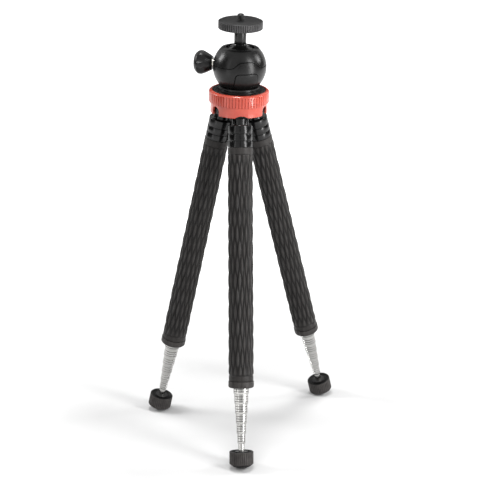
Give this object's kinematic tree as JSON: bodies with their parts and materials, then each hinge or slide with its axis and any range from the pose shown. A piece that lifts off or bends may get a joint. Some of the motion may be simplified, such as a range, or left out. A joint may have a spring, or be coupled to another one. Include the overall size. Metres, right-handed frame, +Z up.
{
  "type": "camera tripod",
  "caption": "Compact camera tripod: ball head with lock disc and clamp knob, red turning lock ring, and telescopic steel legs with rubber sleeves and ribbed feet.",
  "frame": {"origin": "on the floor, straight below the middle of the three leg hinges", "axes": "+Z up from the floor that the three feet stand on, front leg towards -Y, clamp knob towards -X"},
  "size_m": [0.1882, 0.1885, 0.4115],
  "materials": {
    "black": "satin black",
    "red": "anodised coral red",
    "steel": "polished",
    "brass": "nickel plated",
    "plastic": "matte black",
    "grip": "moulded texture",
    "rubber": "moulded"
  },
  "bodies": {
    "hub": {"hub": "black", "hinge_pin_front": "steel", "hinge_pin_right": "steel", "hinge_pin_left": "steel", "base_plate": "black", "base_screw_1": "steel", "base_screw_2": "steel", "base_screw_3": "steel", "housing_lower": "black", "housing_upper": "black", "screw_bush": "brass"},
    "ring": {"lock_ring": "red"},
    "seat": {"ball_seat": "plastic"},
    "ball": {"ball": "black", "ball_stem": "steel", "camera_screw": "steel"},
    "plate": {"camera_plate": "black"},
    "pad": {"pressure_pad": "plastic"},
    "knob": {"clamp_knob": "black", "clamp_screw": "steel"},
    "leg_front": {"leg_head_front": "black", "grip_front": "grip", "grip_end_front": "plastic", "tube_0_front": "steel"},
    "tube_1_front": {"tube_1_front": "steel"},
    "tube_2_front": {"tube_2_front": "steel"},
    "tube_3_front": {"tube_3_front": "steel"},
    "tube_4_front": {"tube_4_front": "steel"},
    "tube_5_front": {"tube_5_front": "steel"},
    "tube_6_front": {"tube_6_front": "steel", "foot_insert_front": "plastic", "foot_front": "rubber"},
    "leg_right": {"leg_head_right": "black", "grip_right": "grip", "grip_end_right": "plastic", "tube_0_right": "steel"},
    "tube_1_right": {"tube_1_right": "steel"},
    "tube_2_right": {"tube_2_right": "steel"},
    "tube_3_right": {"tube_3_right": "steel"},
    "tube_4_right": {"tube_4_right": "steel"},
    "tube_5_right": {"tube_5_right": "steel"},
    "tube_6_right": {"tube_6_right": "steel", "foot_insert_right": "plastic", "foot_right": "rubber"},
    "leg_left": {"leg_head_left": "black", "grip_left": "grip", "grip_end_left": "plastic", "tube_0_left": "steel"},
    "tube_1_left": {"tube_1_left": "steel"},
    "tube_2_left": {"tube_2_left": "steel"},
    "tube_3_left": {"tube_3_left": "steel"},
    "tube_4_left": {"tube_4_left": "steel"},
    "tube_5_left": {"tube_5_left": "steel"},
    "tube_6_left": {"tube_6_left": "steel", "foot_insert_left": "plastic", "foot_left": "rubber"}
  },
  "joints": [
    {"name": "ring_turn", "type": "hinge", "parent": "hub", "child": "ring", "pos_m": [0, 0, 0.32569], "axis": [0.0486, -0.028, 0.9984], "range_deg": [0, 60]},
    {"name": "ball_pan", "type": "hinge", "parent": "hub", "child": "seat", "pos_m": [0.00174, -0.00101, 0.36153], "axis": [0.0486, -0.028, 0.9984], "continuous": true},
    {"name": "ball_tilt", "type": "hinge", "parent": "seat", "child": "ball", "pos_m": [0.00174, -0.00101, 0.36153], "axis": [-0.9988, -0.0014, 0.0485], "range_deg": [-18, 18]},
    {"name": "plate_turn", "type": "hinge", "parent": "ball", "child": "plate", "pos_m": [0.00174, -0.00101, 0.36153], "axis": [0.0486, -0.028, 0.9984], "continuous": true},
    {"name": "pad_slide", "type": "slide", "parent": "hub", "child": "pad", "axis": [-0.9531, 0.2976, 0.0547], "range_m": [0, 0.0004]},
    {"name": "knob_turn", "type": "hinge", "parent": "pad", "child": "knob", "pos_m": [0.00182, -0.00105, 0.36303], "axis": [-0.9531, 0.2976, 0.0547], "range_deg": [0, 180]},
    {"name": "leg_hinge_front", "type": "hinge", "parent": "hub", "child": "leg_front", "pos_m": [0, -0.01429, 0.32529], "axis": [-0.9988, -0.0014, 0.0485], "range_deg": [-16.9, 0]},
    {"name": "tube_slide_1_front", "type": "slide", "parent": "leg_front", "child": "tube_1_front", "axis": [-0.0465, -0.2638, -0.9635], "range_m": [0, 0.15]},
    {"name": "tube_slide_2_front", "type": "slide", "parent": "tube_1_front", "child": "tube_2_front", "axis": [-0.0465, -0.2638, -0.9635], "range_m": [0, 0.15]},
    {"name": "tube_slide_3_front", "type": "slide", "parent": "tube_2_front", "child": "tube_3_front", "axis": [-0.0465, -0.2638, -0.9635], "range_m": [0, 0.15]},
    {"name": "tube_slide_4_front", "type": "slide", "parent": "tube_3_front", "child": "tube_4_front", "axis": [-0.0465, -0.2638, -0.9635], "range_m": [0, 0.15]},
    {"name": "tube_slide_5_front", "type": "slide", "parent": "tube_4_front", "child": "tube_5_front", "axis": [-0.0465, -0.2638, -0.9635], "range_m": [0, 0.15]},
    {"name": "tube_slide_6_front", "type": "slide", "parent": "tube_5_front", "child": "tube_6_front", "axis": [-0.0465, -0.2638, -0.9635], "range_m": [0, 0.15]},
    {"name": "leg_hinge_right", "type": "hinge", "parent": "hub", "child": "leg_right", "pos_m": [0.01237, 0.00716, 0.32529], "axis": [0.4994, -0.865, -0.0485], "range_deg": [-16.9, 0]},
    {"name": "tube_slide_1_right", "type": "slide", "parent": "leg_right", "child": "tube_1_right", "axis": [0.205, 0.1724, -0.9635], "range_m": [0, 0.15]},
    {"name": "tube_slide_2_right", "type": "slide", "parent": "tube_1_right", "child": "tube_2_right", "axis": [0.205, 0.1724, -0.9635], "range_m": [0, 0.15]},
    {"name": "tube_slide_3_right", "type": "slide", "parent": "tube_2_right", "child": "tube_3_right", "axis": [0.205, 0.1724, -0.9635], "range_m": [0, 0.15]},
    {"name": "tube_slide_4_right", "type": "slide", "parent": "tube_3_right", "child": "tube_4_right", "axis": [0.205, 0.1724, -0.9635], "range_m": [0, 0.15]},
    {"name": "tube_slide_5_right", "type": "slide", "parent": "tube_4_right", "child": "tube_5_right", "axis": [0.205, 0.1724, -0.9635], "range_m": [0, 0.15]},
    {"name": "tube_slide_6_right", "type": "slide", "parent": "tube_5_right", "child": "tube_6_right", "axis": [0.205, 0.1724, -0.9635], "range_m": [0, 0.15]},
    {"name": "leg_hinge_left", "type": "hinge", "parent": "hub", "child": "leg_left", "pos_m": [-0.01237, 0.00713, 0.32649], "axis": [0.4994, 0.8664, 0], "range_deg": [-11.5, 5.4]},
    {"name": "tube_slide_1_left", "type": "slide", "parent": "leg_left", "child": "tube_1_left", "axis": [-0.22, 0.1268, -0.9672], "range_m": [0, 0.15]},
    {"name": "tube_slide_2_left", "type": "slide", "parent": "tube_1_left", "child": "tube_2_left", "axis": [-0.22, 0.1268, -0.9672], "range_m": [0, 0.15]},
    {"name": "tube_slide_3_left", "type": "slide", "parent": "tube_2_left", "child": "tube_3_left", "axis": [-0.22, 0.1268, -0.9672], "range_m": [0, 0.15]},
    {"name": "tube_slide_4_left", "type": "slide", "parent": "tube_3_left", "child": "tube_4_left", "axis": [-0.22, 0.1268, -0.9672], "range_m": [0, 0.15]},
    {"name": "tube_slide_5_left", "type": "slide", "parent": "tube_4_left", "child": "tube_5_left", "axis": [-0.22, 0.1268, -0.9672], "range_m": [0, 0.15]},
    {"name": "tube_slide_6_left", "type": "slide", "parent": "tube_5_left", "child": "tube_6_left", "axis": [-0.22, 0.1268, -0.9672], "range_m": [0, 0.15]}
  ],
  "couplings": [
    {"joint": "knob_turn", "follows": "pad_slide", "rad_per_m": 7854}
  ]
}
